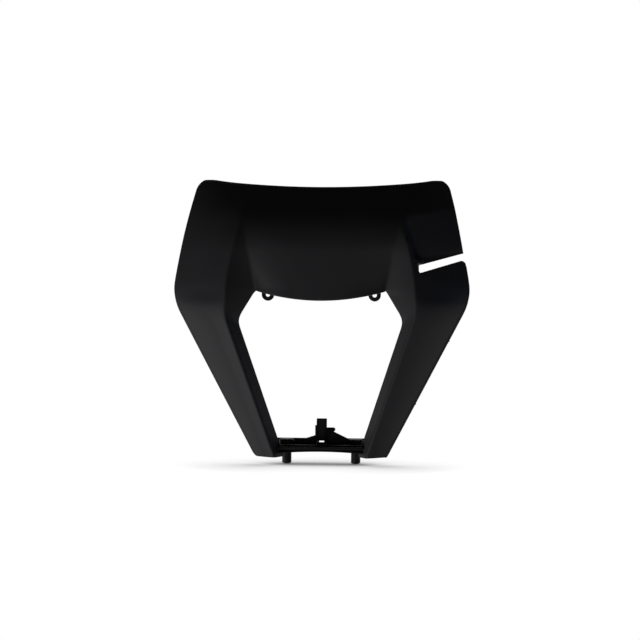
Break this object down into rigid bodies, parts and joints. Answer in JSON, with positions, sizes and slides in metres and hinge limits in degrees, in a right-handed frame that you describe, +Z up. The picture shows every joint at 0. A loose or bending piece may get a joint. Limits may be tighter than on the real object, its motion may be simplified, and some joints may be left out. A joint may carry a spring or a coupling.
{
  "type": "headlight cowl",
  "caption": "One-piece moulded plastic cowl that frames a small road bike's headlamp, with two wings, a creased brow, a hose slot, screw eyelets, an aiming tab and two locating pegs.",
  "frame": {"origin": "midway between the tips of the two locating pegs", "axes": "+Z up along the pegs, +X to the right of someone who faces the front, -Y towards the front"},
  "size_m": [0.2668, 0.0755, 0.2601],
  "materials": {
    "plastic": "moulded black polypropylene, satin with a fine grain"
  },
  "bodies": {
    "root": {"cowl": "plastic"}
  },
  "joints": []
}
